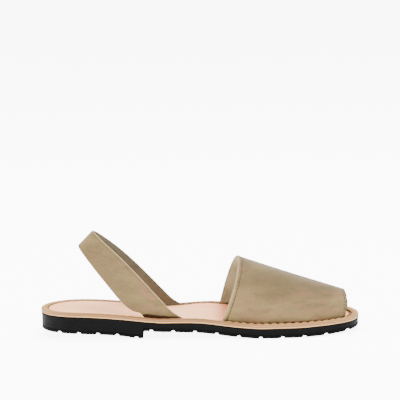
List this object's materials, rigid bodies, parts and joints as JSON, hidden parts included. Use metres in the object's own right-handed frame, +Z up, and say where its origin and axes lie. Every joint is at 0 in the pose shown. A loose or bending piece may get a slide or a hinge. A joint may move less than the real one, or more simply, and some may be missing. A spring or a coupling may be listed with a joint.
{
  "type": "avarca sandal",
  "caption": "Flat open-toe sandal for the left foot: hollow nubuck vamp and heel strap, pale leather insole and stitched welt on a black rubber sole with a low heel.",
  "frame": {"origin": "middle of the sole's plan box, on the floor", "axes": "+X from the heel to the toe, +Y to the outer side of the left foot, +Z up"},
  "size_m": [0.25, 0.0976, 0.0812],
  "materials": {
    "sole_rubber": "matt black rubber",
    "raw_edge_leather": "pale raw cut edge",
    "natural_leather": "natural vegetable-tanned leather, satin",
    "insole_leather": "smooth pale pink natural leather",
    "nubuck": "sand nubuck with a fine nap"
  },
  "bodies": {
    "root": {"outsole": "sole_rubber", "midsole": "raw_edge_leather", "welt": "natural_leather", "insole": "insole_leather", "vamp": "nubuck", "heel_strap": "nubuck"}
  },
  "joints": []
}
